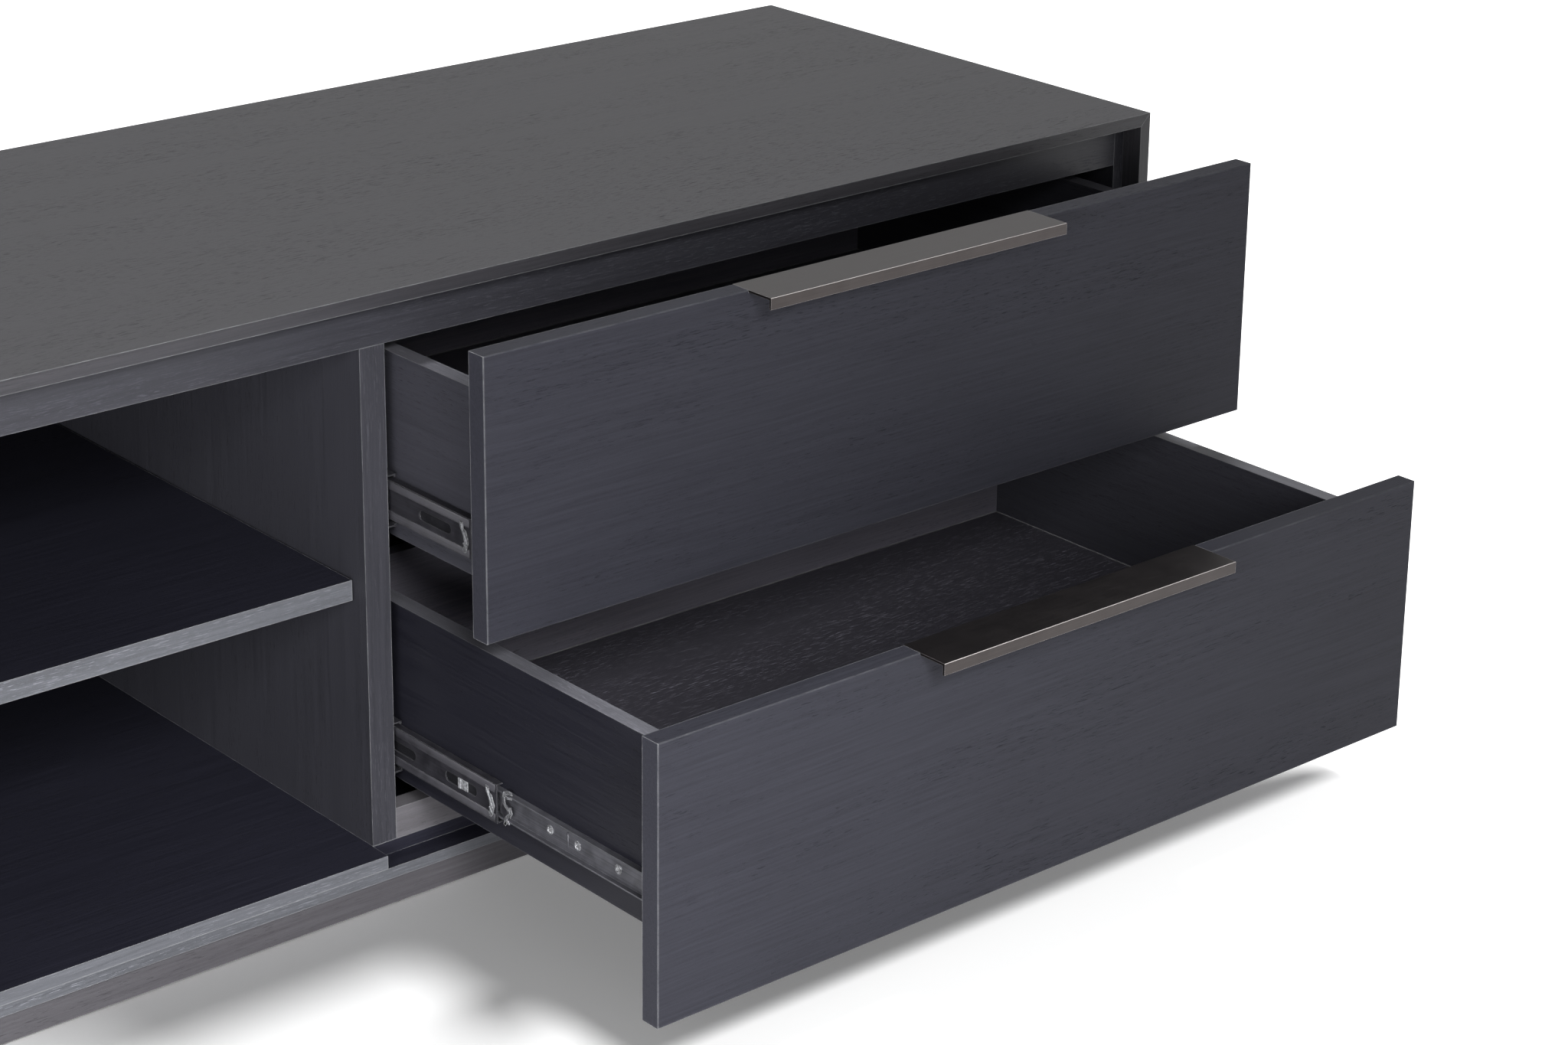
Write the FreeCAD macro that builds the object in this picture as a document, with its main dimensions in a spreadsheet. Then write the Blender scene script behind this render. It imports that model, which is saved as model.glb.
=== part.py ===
"""Low dresser: an open bay with a shelf beside two wide drawers on ball-bearing slides.

The outer shell is three mitred panels and a bottom. A lining stands back inside it by the thickness
of a drawer front, so that the closed fronts lie flush with the shell's edges. At rest the drawers
stand open: upper_open and lower_open say how far. X is the width, -Y the front, +Z up, and the
origin is the middle of the footprint of the dresser with its drawers at rest.
"""

import FreeCAD, Part
import os
import re

import Sketcher

SIZES = {
    # shell
    "width": 1738, "depth": 550, "height": 540,
    "skin": 12, "base_skin": 10, "pad_tall": 1, "plinth_tall": 25, "plinth_inset": 3, "plinth_thick": 18,
    # lining
    "set_back": 22, "lining": 12, "divider_thick": 24, "rail_tall": 40, "rail_thick": 18,
    "bay_rail_tall": 28, "back_thick": 9, "back_inset": 3,
    # shelf
    "shelf_thick": 18, "shelf_under": 266, "shelf_set_back": 39, "shelf_gap": 2,
    "pin_radius": 2.5, "pin_reach": 8, "pin_inset": 60,
    # drawer fronts
    "front_thick": 19, "gap_side": 3, "gap_top": 3, "gap_mid": 7, "gap_bottom": 4, "ease": 1,
    # drawer boxes
    "box_wall": 15, "box_long": 475, "upper_tall": 160, "lower_tall": 160,
    "upper_lift": 29.5, "lower_lift": 55, "sheet_thick": 6, "sheet_lift": 14, "groove_deep": 6,
    # how far the drawers stand open at rest, and the share of it that the intermediate members take
    "upper_open": 142, "lower_open": 355, "upper_share": 0.77, "lower_share": 0.39,
    # edge pulls
    "pull_long": 334, "pull_reach": 28, "pull_sheet": 2, "pull_lip": 10, "pull_tab": 24, "pull_ease": 0.8,
    # ball-bearing slides: every section is measured from the mounting face and from the centre line
    "slide_gap": 12.7, "slide_lift": 35, "slide_inset": 2, "steel": 1.2,
    "outer_half": 22.85, "outer_flange": 9, "outer_lip": 1.5, "outer_long": 450,
    "middle_half": 17.4, "middle_web": 5.2, "middle_flange": 11.4, "middle_long": 440,
    "inner_half": 12, "inner_flange": 7, "inner_long": 440,
    "slot_long": 44, "slot_tall": 9, "slot_first": 27, "slot_pitch": 86, "ball_radius": 1.8,
}

# Expressions for the places that several pieces share.
FRONT = "((lower_open + pull_reach - depth) / 2)"
LINE = f"({FRONT} + set_back)"
HALF = "(width / 2)"
BASE = "(pad_tall + plinth_tall)"
FLOOR = f"({BASE} + base_skin)"
BOARD = f"({FLOOR} + lining)"
CEILING = "(height - skin)"
RAIL = f"({CEILING} - rail_tall)"
BACK = f"({FRONT} + depth - back_inset - back_thick)"
HALF_DIVIDER = "(divider_thick / 2)"
INSIDE = f"({HALF} - skin - lining)"
FRONT_LEFT = f"(gap_side - {HALF_DIVIDER})"
FRONT_WIDE = f"({HALF} - skin - gap_side - {FRONT_LEFT})"
FRONT_TALL = f"(({CEILING} - {FLOOR} - gap_top - gap_mid - gap_bottom) / 2)"
BOX_LEFT = f"({HALF_DIVIDER} + slide_gap)"
BOX_RIGHT = f"({FRONT_LEFT} + {FRONT_WIDE} - ({BOX_LEFT} - {FRONT_LEFT}))"

UPPER = {
    "name": "upper",
    "front_low": f"({FLOOR} + gap_bottom + {FRONT_TALL} + gap_mid)",
    "face": f"({FRONT} - upper_open)",
    "lift": "upper_lift", "tall": "upper_tall", "open": "upper_open", "share": "upper_share",
}
LOWER = {
    "name": "lower",
    "front_low": f"({FLOOR} + gap_bottom)",
    "face": f"({FRONT} - lower_open)",
    "lift": "lower_lift", "tall": "lower_tall", "open": "lower_open", "share": "lower_share",
}

doc = FreeCAD.newDocument("dresser")
sheet = doc.addObject("Spreadsheet::Sheet", "Sizes")
for row, (alias, value) in enumerate(SIZES.items(), start=1):
    sheet.set(f"A{row}", alias)
    sheet.set(f"B{row}", str(value))
    sheet.setAlias(f"B{row}", alias)
doc.recompute()

nodes = []


def bound(text):
    """The expression with every size's name pointed at its cell."""
    def cell(match):
        word = match.group(0)
        return f"Sizes.{word}" if word in SIZES else word
    return re.sub(r"[a-z_]+", cell, text)


def place(item, corner):
    """Binds an object's corner, given as three expressions."""
    for axis, text in zip("xyz", corner):
        item.setExpression(f".Placement.Base.{axis}", bound(text))


def keep(item, label):
    """Makes the object a sub-part of the dresser."""
    item.Label = label
    nodes.append(item)
    return item


def block(label, size, corner):
    """A rectangular board from its three sizes and its lowest corner."""
    board = doc.addObject("Part::Box", label)
    for side, text in zip(("Length", "Width", "Height"), size):
        board.setExpression(side, bound(text))
    place(board, corner)
    return board


def board(label, size, corner):
    return keep(block(label, size, corner), label)


def plane_of(body, role):
    return next(item for item in body.Origin.OriginFeatures if item.Role == role)


def outline(body, name, role, points):
    """A closed sketch through points, each a pair of expressions that are never negative."""
    sketch = body.newObject("Sketcher::SketchObject", name)
    sketch.AttachmentSupport = (plane_of(body, role), [""])
    sketch.MapMode = "FlatFace"
    starts = []
    for index, (across, up) in enumerate(points):
        x = 0 if across == "0" else 5 + index
        y = 0 if up == "0" else 5 + index * index
        starts.append(FreeCAD.Vector(x, y, 0))
    count = len(points)
    for index in range(count):
        sketch.addGeometry(Part.LineSegment(starts[index], starts[(index + 1) % count]), False)
    for index in range(count):
        sketch.addConstraint(Sketcher.Constraint("Coincident", index, 2, (index + 1) % count, 1))
    for index, pair in enumerate(points):
        for kind, axis, text, start in zip(
            ("DistanceX", "DistanceY"), (-2, -1), pair, (starts[index].x, starts[index].y)
        ):
            if text == "0":
                sketch.addConstraint(Sketcher.Constraint("PointOnObject", index, 1, axis))
                continue
            number = sketch.addConstraint(Sketcher.Constraint(kind, -1, 1, index, 1, start))
            sketch.setExpression(f"Constraints[{number}]", bound(text))
    return sketch


def prism(label, role, points, long, corner):
    """A body padded from an outline: along +X from YZ, +Y from XZ and +Z from XY."""
    body = doc.addObject("PartDesign::Body", label)
    pad = body.newObject("PartDesign::Pad", label + "_pad")
    pad.Profile = outline(body, label + "_outline", role, points)
    pad.Reversed = role == "XZ_Plane"
    pad.setExpression("Length", bound(long))
    body.Tip = pad
    place(body, corner)
    return body


def cut_through(body, name, role, points):
    """A pocket right through the body, both ways from the outline's plane."""
    doc.recompute()
    before = body.Shape.Volume
    pocket = body.newObject("PartDesign::Pocket", name)
    pocket.Profile = outline(body, name + "_outline", role, points)
    pocket.Type = 1
    pocket.Midplane = True
    body.Tip = pocket
    doc.recompute()
    if not body.Shape.Volume < before:
        raise RuntimeError(name + " cuts nothing")


def ease(body, name, radius, wanted):
    """Rounds the edges of the body's last feature for which wanted(edge) is true."""
    doc.recompute()
    base = body.Tip
    names = [f"Edge{i}" for i, edge in enumerate(base.Shape.Edges, start=1) if wanted(edge)]
    fillet = body.newObject("PartDesign::Fillet", name)
    fillet.Base = (base, names)
    fillet.setExpression("Radius", bound(radius))
    body.Tip = fillet


def runs_along(edge, axis):
    """Whether an edge is a straight one along the axis 0, 1 or 2."""
    way = edge.Vertexes[-1].Point - edge.Vertexes[0].Point
    return way.Length > 0 and abs(abs(way[axis]) - way.Length) < 1e-6


def number(name):
    return float(getattr(sheet, name))


def shaped(label, solids, corner):
    """A group of equal small solids in one node, set at its corner after its shape."""
    group = doc.addObject("Part::Feature", label)
    group.Shape = Part.makeCompound(solids)
    place(group, corner)
    return keep(group, label)


def shell():
    tall = f"(height - {BASE})"
    low = (f"-{HALF}", FRONT, BASE)
    keep(prism("top_panel", "XZ_Plane",
               [("0", "skin"), ("skin", "0"), ("width - skin", "0"), ("width", "skin")],
               "depth", (f"-{HALF}", FRONT, CEILING)), "top_panel")
    keep(prism("bottom_panel", "XZ_Plane",
               [("0", "0"), ("width", "0"), ("width - skin", "base_skin"), ("skin", "base_skin")],
               "depth", low), "bottom_panel")
    keep(prism("left_side_panel", "XZ_Plane",
               [("0", "0"), ("skin", "base_skin"), ("skin", f"{tall} - skin"), ("0", tall)],
               "depth", low), "left_side_panel")
    keep(prism("right_side_panel", "XZ_Plane",
               [("skin", "0"), ("skin", tall), ("0", f"{tall} - skin"), ("0", "base_skin")],
               "depth", (f"{HALF} - skin", FRONT, BASE)), "right_side_panel")


def lining():
    deep = f"({BACK} - {FRONT})"
    span = "(width - 2 * skin)"
    step = f"({HALF} - skin - {HALF_DIVIDER})"
    keep(prism("floor_panel", "XY_Plane",
               [("0", "0"), (step, "0"), (step, "set_back"), (span, "set_back"), (span, deep), ("0", deep)],
               "lining", (f"skin - {HALF}", FRONT, FLOOR)), "floor_panel")
    inner_deep = f"({BACK} - {LINE})"
    inner_tall = f"({CEILING} - {BOARD})"
    for side, x in (("left", f"skin - {HALF}"), ("right", INSIDE)):
        board(f"{side}_liner", ("lining", inner_deep, inner_tall), (x, LINE, BOARD))
    low_rail = f"({inner_tall} - rail_tall)"
    keep(prism("divider", "YZ_Plane",
               [("0", "0"), (inner_deep, "0"), (inner_deep, low_rail),
                (f"{inner_deep} - rail_thick", low_rail), (f"{inner_deep} - rail_thick", inner_tall),
                ("rail_thick", inner_tall), ("rail_thick", low_rail), ("0", low_rail)],
               "divider_thick", (f"-{HALF_DIVIDER}", LINE, BOARD)), "divider")
    inner_span = f"(2 * {INSIDE})"
    rail = (inner_span, "rail_thick", "rail_tall")
    board("top_rail", rail, (f"-{INSIDE}", LINE, RAIL))
    board("rear_rail", rail, (f"-{INSIDE}", f"{BACK} - rail_thick", RAIL))
    board("bay_rail", (f"{INSIDE} - {HALF_DIVIDER}", "rail_thick", "bay_rail_tall"),
          (HALF_DIVIDER, LINE, BOARD))
    board("back_panel", (span, "back_thick", f"{CEILING} - {FLOOR}"),
          (f"skin - {HALF}", BACK, FLOOR))


def shelf():
    left = f"(shelf_gap - {INSIDE})"
    front = f"({FRONT} + shelf_set_back)"
    board("shelf", (f"{INSIDE} - {HALF_DIVIDER} - 2 * shelf_gap", f"{BACK} - {front}", "shelf_thick"),
          (left, front, "shelf_under"))
    radius, reach, inset = number("pin_radius"), number("pin_reach"), number("pin_inset")
    bay = number("width") / 2 - number("skin") - number("lining") - number("divider_thick") / 2
    near = number("shelf_set_back") + inset
    far = number("depth") - number("back_inset") - number("back_thick") - inset
    along = FreeCAD.Vector(1, 0, 0)
    pins = []
    for x in (-reach, bay - reach):
        for y in (near, far):
            pins.append(Part.makeCylinder(radius, 2 * reach, FreeCAD.Vector(x, y, -radius), along))
    shaped("shelf_pins", pins, (f"-{INSIDE}", FRONT, "shelf_under"))


def plinth():
    long = "(width - 2 * plinth_inset)"
    left = f"(plinth_inset - {HALF})"
    near = f"({FRONT} + plinth_inset)"
    far = f"({FRONT} + depth - plinth_inset - plinth_thick)"
    between = f"({far} - {near} - plinth_thick)"
    for label, y in (("plinth_front", near), ("plinth_rear", far)):
        board(label, (long, "plinth_thick", "plinth_tall"), (left, y, "pad_tall"))
    ends = (
        ("plinth_left", left),
        ("plinth_brace", "0 - plinth_thick / 2"),
        ("plinth_right", f"0 - {left} - plinth_thick"),
    )
    for label, x in ends:
        board(label, ("plinth_thick", between, "plinth_tall"), (x, f"{near} + plinth_thick", "pad_tall"))
    pad_radius = 8
    middle = number("plinth_inset") + number("plinth_thick") / 2
    half = number("width") / 2
    pads = []
    for x in (pad_radius - half + middle, 0, half - middle - pad_radius):
        for y in (middle, number("depth") - middle):
            pads.append(Part.makeCylinder(pad_radius, number("pad_tall"), FreeCAD.Vector(x, y, 0)))
    shaped("glide_pads", pads, ("0", FRONT, "0"))


def drawer_front(drawer):
    label = drawer["name"] + "_drawer_front"
    body = prism(label, "XZ_Plane",
                 [("0", "0"), (FRONT_WIDE, "0"), (FRONT_WIDE, FRONT_TALL), ("0", FRONT_TALL)],
                 "front_thick", (FRONT_LEFT, drawer["face"], drawer["front_low"]))
    ease(body, label + "_ease", "ease", lambda edge: all(abs(v.Y) < 1e-6 for v in edge.Vertexes))
    start = f"(({FRONT_WIDE} - pull_long) / 2)"
    low = f"({FRONT_TALL} - pull_sheet)"
    cut_through(body, label + "_recess", "XZ_Plane",
                [(start, low), (f"{start} + pull_long", low),
                 (f"{start} + pull_long", f"{FRONT_TALL} + pull_sheet"), (start, f"{FRONT_TALL} + pull_sheet")])
    keep(body, label)


def pull(drawer):
    """Folded sheet: a lip in front, a flat over the front's edge and a tab behind it."""
    label = drawer["name"] + "_pull"
    deep = "(pull_reach + front_thick + pull_sheet)"
    flat = "(pull_tab - pull_sheet)"
    tip = "(pull_tab - pull_lip)"
    body = prism(label, "YZ_Plane",
                 [("0", tip), ("pull_sheet", tip), ("pull_sheet", flat),
                  (f"{deep} - pull_sheet", flat), (f"{deep} - pull_sheet", "0"), (deep, "0"),
                  (deep, "pull_tab"), ("0", "pull_tab")],
                 "pull_long",
                 (f"{FRONT_LEFT} + ({FRONT_WIDE} - pull_long) / 2", f"{drawer['face']} - pull_reach",
                  f"{drawer['front_low']} + {FRONT_TALL} - pull_tab"))
    top = number("pull_tab")
    ease(body, label + "_ease", "pull_ease",
         lambda edge: runs_along(edge, 0) and all(abs(v.Z - top) < 1e-6 for v in edge.Vertexes))
    keep(body, label)
    screws = []
    sink = number("pull_sheet")
    back = FreeCAD.Vector(0, -1, 0)
    for share in (-0.4, 0, 0.4):
        point = FreeCAD.Vector(share * number("pull_long"), sink, 0)
        head = Part.makeCone(3.2, 1.7, sink, point, back)
        shank = Part.makeCylinder(1.7, 13 + sink, point, back)
        screws.append(head.fuse(shank).removeSplitter())
    shaped(drawer["name"] + "_pull_screws", screws,
           (f"{FRONT_LEFT} + {FRONT_WIDE} / 2", f"{drawer['face']} + front_thick",
            f"{drawer['front_low']} + {FRONT_TALL} - pull_tab / 2 - pull_sheet"))


def box(drawer):
    """Two grooved sides, a back standing on the bottom, and the bottom sheet in the grooves."""
    name = drawer["name"] + "_drawer_"
    low = f"({drawer['front_low']} + {drawer['lift']})"
    start = f"({drawer['face']} + front_thick)"
    inner_left = f"({BOX_LEFT} + box_wall)"
    inner_wide = f"({BOX_RIGHT} - box_wall - {inner_left})"
    sheet_low = f"({low} + sheet_lift)"
    for side, x, groove_x in (
        ("left", BOX_LEFT, f"{inner_left} - groove_deep"),
        ("right", f"{BOX_RIGHT} - box_wall", f"{BOX_RIGHT} - box_wall"),
    ):
        label = f"{name}{side}_side"
        wall = block(label + "_board", ("box_wall", "box_long", drawer["tall"]), (x, start, low))
        groove = block(label + "_groove", ("groove_deep", "box_long", "sheet_thick"),
                       (groove_x, start, sheet_low))
        cut = doc.addObject("Part::Cut", label)
        cut.Base = wall
        cut.Tool = groove
        keep(cut, label)
    board(name + "bottom", (f"{inner_wide} + 2 * groove_deep", "box_long", "sheet_thick"),
          (f"{inner_left} - groove_deep", start, sheet_low))
    above = f"({sheet_low} + sheet_thick)"
    board(name + "back", (inner_wide, "box_wall", f"{low} + {drawer['tall']} - {above}"),
          (inner_left, f"{start} + box_long - box_wall", above))


OUTER_SECTION = [
    ("0", "0"), ("outer_flange", "0"), ("outer_flange", "steel + outer_lip"),
    ("outer_flange - steel", "steel + outer_lip"), ("outer_flange - steel", "steel"), ("steel", "steel"),
    ("steel", "2 * outer_half - steel"), ("outer_flange - steel", "2 * outer_half - steel"),
    ("outer_flange - steel", "2 * outer_half - steel - outer_lip"),
    ("outer_flange", "2 * outer_half - steel - outer_lip"), ("outer_flange", "2 * outer_half"),
    ("0", "2 * outer_half"),
]
MIDDLE_SECTION = [
    ("middle_web", "0"), ("middle_flange", "0"), ("middle_flange", "steel"), ("middle_web + steel", "steel"),
    ("middle_web + steel", "2 * middle_half - steel"), ("middle_flange", "2 * middle_half - steel"),
    ("middle_flange", "2 * middle_half"), ("middle_web", "2 * middle_half"),
]
INNER_SECTION = [
    ("inner_flange", "0"), ("slide_gap", "0"), ("slide_gap", "2 * inner_half"),
    ("inner_flange", "2 * inner_half"), ("inner_flange", "2 * inner_half - steel"),
    ("slide_gap - steel", "2 * inner_half - steel"), ("slide_gap - steel", "steel"),
    ("inner_flange", "steel"),
]


def facing(section, side):
    """A slide's section as it stands on the left of the drawer, or mirrored for the right."""
    if side == "left":
        return section
    return [("0" if across == "slide_gap" else f"slide_gap - ({across})", up) for across, up in section]


def slides(drawer):
    name = drawer["name"]
    centre = f"({drawer['front_low']} + {drawer['lift']} + slide_lift)"
    start = f"({LINE} + slide_inset)"
    ahead = f"({drawer['share']} * {drawer['open']})"
    inner_start = f"({start} - {drawer['open']})"
    faces = {"left": HALF_DIVIDER, "right": BOX_RIGHT}
    batten_tall = 60
    board(f"{name}_slide_batten", (f"{INSIDE} - {BOX_RIGHT} - slide_gap", "outer_long", str(batten_tall)),
          (f"{BOX_RIGHT} + slide_gap", start, f"{centre} - {batten_tall} / 2"))
    for side, x in faces.items():
        outer = prism(f"{name}_{side}_slide_outer", "XZ_Plane", facing(OUTER_SECTION, side),
                      "outer_long", (x, start, f"{centre} - outer_half"))
        keep(outer, outer.Name)
        middle = prism(f"{name}_{side}_slide_middle", "XZ_Plane", facing(MIDDLE_SECTION, side),
                       "middle_long", (x, f"{start} - {ahead}", f"{centre} - middle_half"))
        slot_low = "(middle_half - slot_tall / 2)"
        slot_high = "(middle_half + slot_tall / 2)"
        for index in range(5):
            near = f"(slot_first + {index} * slot_pitch)"
            far = f"({near} + slot_long)"
            cut_through(middle, f"{middle.Name}_slot_{index}", "YZ_Plane",
                        [(near, slot_low), (far, slot_low), (far, slot_high), (near, slot_high)])
        reach = number("slot_tall") / 2 + 0.01
        middle_half = number("middle_half")
        ease(middle, middle.Name + "_slot_ends", "0.49 * slot_tall",
             lambda edge: runs_along(edge, 0) and edge.Length < number("steel") + 0.01
             and abs(edge.Vertexes[0].Z - middle_half) < reach)
        keep(middle, middle.Name)
        inner = prism(f"{name}_{side}_slide_inner", "XZ_Plane", facing(INNER_SECTION, side),
                      "inner_long", (x, inner_start, f"{centre} - inner_half"))
        keep(inner, inner.Name)
    slide_balls(drawer, start, ahead, centre)
    slide_screws(drawer, start, inner_start, centre)


def slide_balls(drawer, start, ahead, centre):
    """Rows of balls above and below: ahead of the intermediate member's middle, and behind it."""
    radius = number("ball_radius")
    outer_row = (number("outer_half") + number("middle_half") - number("steel")) / 2
    inner_row = (number("middle_half") + number("inner_half") - number("steel")) / 2
    rows = ((number("outer_flange") * 0.6, outer_row, 340), (9.2, inner_row, 10))
    span = number("width") / 2 - number("skin") - 1.5 * number("divider_thick")
    balls = []
    for across, up, first in rows:
        for index in range(7):
            y = first + 15 * index
            for x in (across, span - across):
                for z in (-up, up):
                    balls.append(Part.makeSphere(radius, FreeCAD.Vector(x, y, z)))
    shaped(drawer["name"] + "_slide_balls", balls, (HALF_DIVIDER, f"{start} - {ahead}", centre))


def slide_screws(drawer, start, inner_start, centre):
    """Pan-head screws through the webs: into the divider and batten, and into the drawer's sides."""
    groups = (
        ("outer", start, number("steel"), -1, (35, 163, 260, 390), 10),
        ("inner", inner_start, number("slide_gap") - number("steel"), 1, (65, 117, 153, 380), 10),
    )
    wide = {"left": HALF_DIVIDER, "right": f"{BOX_RIGHT} + slide_gap"}
    for member, y, across, way, spots, long in groups:
        for side, x in wide.items():
            sign = 1 if side == "left" else -1
            into = FreeCAD.Vector(way * sign, 0, 0)
            screws = []
            for spot in spots:
                seat = FreeCAD.Vector(sign * across, spot, 0)
                head = Part.makeCone(2.6, 3.4, 1.2, seat - into * 1.2, into)
                shank = Part.makeCylinder(1.6, long, seat, into)
                screws.append(head.fuse(shank))
            shaped(f"{drawer['name']}_{side}_{member}_screws", screws, (x, y, centre))


shell()
lining()
shelf()
plinth()
for each in (UPPER, LOWER):
    drawer_front(each)
    pull(each)
    box(each)
    slides(each)
doc.recompute()

for item in doc.Objects:
    if "Invalid" in item.State or "Error" in item.State:
        raise RuntimeError(f"{item.Label} is {item.State}")
for node in nodes:
    if node.Shape.isNull() or not node.Shape.isValid():
        raise RuntimeError(f"{node.Label} has no valid shape")

os.makedirs("parts", exist_ok=True)
for node in nodes:
    node.Shape.exportStep(f"parts/{node.Label}.step")
print(len(nodes), "nodes")
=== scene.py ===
import math
from fnmatch import fnmatchcase

import bmesh
import bpy
from mathutils import Euler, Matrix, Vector


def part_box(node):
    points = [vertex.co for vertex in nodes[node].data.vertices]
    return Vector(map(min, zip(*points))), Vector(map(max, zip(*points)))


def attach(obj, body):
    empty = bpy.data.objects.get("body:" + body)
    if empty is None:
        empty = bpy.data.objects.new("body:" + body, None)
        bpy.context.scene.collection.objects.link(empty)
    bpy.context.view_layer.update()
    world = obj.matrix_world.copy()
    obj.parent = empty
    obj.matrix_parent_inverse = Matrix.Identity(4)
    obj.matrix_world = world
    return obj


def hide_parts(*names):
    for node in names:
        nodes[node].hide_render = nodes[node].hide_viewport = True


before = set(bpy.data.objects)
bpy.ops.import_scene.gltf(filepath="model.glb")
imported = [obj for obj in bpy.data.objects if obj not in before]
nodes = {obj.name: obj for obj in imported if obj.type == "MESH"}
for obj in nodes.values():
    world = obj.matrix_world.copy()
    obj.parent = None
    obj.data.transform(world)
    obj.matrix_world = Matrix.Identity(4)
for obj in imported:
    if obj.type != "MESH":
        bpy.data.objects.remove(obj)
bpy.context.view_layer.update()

MM = 0.001
# The furthest that the patterns of two pieces are shifted apart, in metres.
PATTERN_SHIFT = (7.3, 3.1, 5.7)
AXES = {"x": Vector((1, 0, 0)), "y": Vector((0, 1, 0)), "z": Vector((0, 0, 1))}


# ---------------------------------------------------------------- shader helpers

def new_material(name):
    material = bpy.data.materials.new(name)
    material.use_nodes = True
    tree = material.node_tree
    tree.nodes.clear()
    output = tree.nodes.new("ShaderNodeOutputMaterial")
    shader = tree.nodes.new("ShaderNodeBsdfPrincipled")
    tree.links.new(shader.outputs["BSDF"], output.inputs["Surface"])
    return material, tree, shader


def plug(tree, socket, value):
    """Links an output to the socket, or sets a plain value on it."""
    if isinstance(value, bpy.types.NodeSocket):
        tree.links.new(value, socket)
    else:
        socket.default_value = value


def node(tree, kind, inputs=(), **settings):
    """A node with its settings, and with inputs as a map from each socket to a value or an output."""
    made = tree.nodes.new(kind)
    for key, value in settings.items():
        setattr(made, key, value)
    for key, value in dict(inputs).items():
        plug(tree, made.inputs[key], value)
    return made


def calculated(tree, operation, first, second, clamp=False):
    made = node(tree, "ShaderNodeMath", {0: first, 1: second}, operation=operation, use_clamp=clamp)
    return made.outputs[0]


def times(tree, first, second):
    return calculated(tree, "MULTIPLY", first, second)


def weighted(tree, *terms):
    """The sum of (output, weight) terms."""
    total = times(tree, *terms[0])
    for term in terms[1:]:
        total = calculated(tree, "ADD", total, times(tree, *term))
    return total


def vector_math(tree, operation, first, second):
    return node(tree, "ShaderNodeVectorMath", {0: first, 1: second}, operation=operation)


def scaled(tree, vector, factor):
    """A constant vector or colour times an output."""
    return node(tree, "ShaderNodeVectorMath", {0: vector, "Scale": factor}, operation="SCALE").outputs[0]


def mixed(tree, factor, first, second):
    """Two colours mixed by a factor. The node's sockets 6, 7 and output 2 are the ones for colours."""
    made = node(tree, "ShaderNodeMix", {0: factor, 6: first, 7: second}, data_type="RGBA")
    return made.outputs[2]


def ranged(tree, value, low, high, to_low=0.0, to_high=1.0):
    """The value's span from low to high, mapped to another span and clamped to it."""
    made = node(tree, "ShaderNodeMapRange",
                {"Value": value, "From Min": low, "From Max": high, "To Min": to_low, "To Max": to_high})
    return made.outputs["Result"]


def noise(tree, place, scale, detail, rough):
    made = node(tree, "ShaderNodeTexNoise",
                {"Vector": place, "Scale": scale, "Detail": detail, "Roughness": rough})
    return made.outputs["Fac"]


def grain_noise(tree, place, grain, scales, detail, rough):
    """Noise drawn out along the axis grain: scales are the ones across the grain and along it."""
    across, along = scales
    stretch = [across] * 3
    stretch["xyz".index(grain)] = along
    return noise(tree, vector_math(tree, "MULTIPLY", place, stretch).outputs[0], 1.0, detail, rough)


def part_of(tree, vector, axis):
    return node(tree, "ShaderNodeSeparateXYZ", {0: vector}).outputs[axis]


def surface_normal(tree):
    return node(tree, "ShaderNodeNewGeometry").outputs["Normal"]


def object_place(tree):
    return node(tree, "ShaderNodeTexCoord").outputs["Object"]


def own_place(tree):
    """Coordinates in metres, shifted by an amount of each piece's own, so that no two look alike."""
    luck = node(tree, "ShaderNodeObjectInfo").outputs["Random"]
    shift = scaled(tree, PATTERN_SHIFT, luck)
    return vector_math(tree, "ADD", object_place(tree), shift).outputs[0]


def edge_wear(tree, radius):
    """0 on flats, towards 1 where the surface turns over an edge."""
    rounded = node(tree, "ShaderNodeBevel", {"Radius": radius}, samples=4).outputs["Normal"]
    same = vector_math(tree, "DOT_PRODUCT", rounded, surface_normal(tree)).outputs["Value"]
    return ranged(tree, same, 0.999, 0.9)


def bumped(tree, shader, height, strength, distance):
    bump = node(tree, "ShaderNodeBump", {"Height": height, "Strength": strength, "Distance": distance})
    tree.links.new(bump.outputs["Normal"], shader.inputs["Normal"])


def shade(colour, factor=1.0, lift=0.0):
    """A colour multiplied and raised, with the alpha that a colour socket takes."""
    return tuple(factor * value + lift for value in colour) + (1.0,)


# ---------------------------------------------------------------- materials

# Noise scales across the grain and along it, per metre.
FIBRES = (420.0, 9.0)
PORES = (1150.0, 85.0)
PORE_CLUSTERS = (22.0, 2.2)
SCRATCHES = (2600.0, 22.0)
DRAW_LINES = (700.0, 9.0)
# Noise scales that are the same every way, per metre.
GRAIN_DRIFT = 1.6
WOOD_PATCHES = 1.7
WOOD_GRIT = 1500.0
SCUFFS = 60.0
METAL_PATCHES = 38.0
STEEL_MOTTLE = 90.0
ZINC_BLOOM = 420.0
FELT_FLUFF = 900.0
# How far the grain wanders, and how far in from an edge the wear reaches.
GRAIN_WANDER = 12 * MM
WOOD_WEAR = 1.1 * MM
METAL_WEAR = 0.4 * MM
ZINC_WEAR = 0.3 * MM

SCUFFED_AND_HIGHLIT_WOOD = (0.26, 0.265, 0.27)
WORN_STEEL = (0.42, 0.43, 0.44)
WORN_ZINC = (0.85, 0.86, 0.88)
FELT = ((0.03, 0.03, 0.03), (0.09, 0.09, 0.09))
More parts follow.
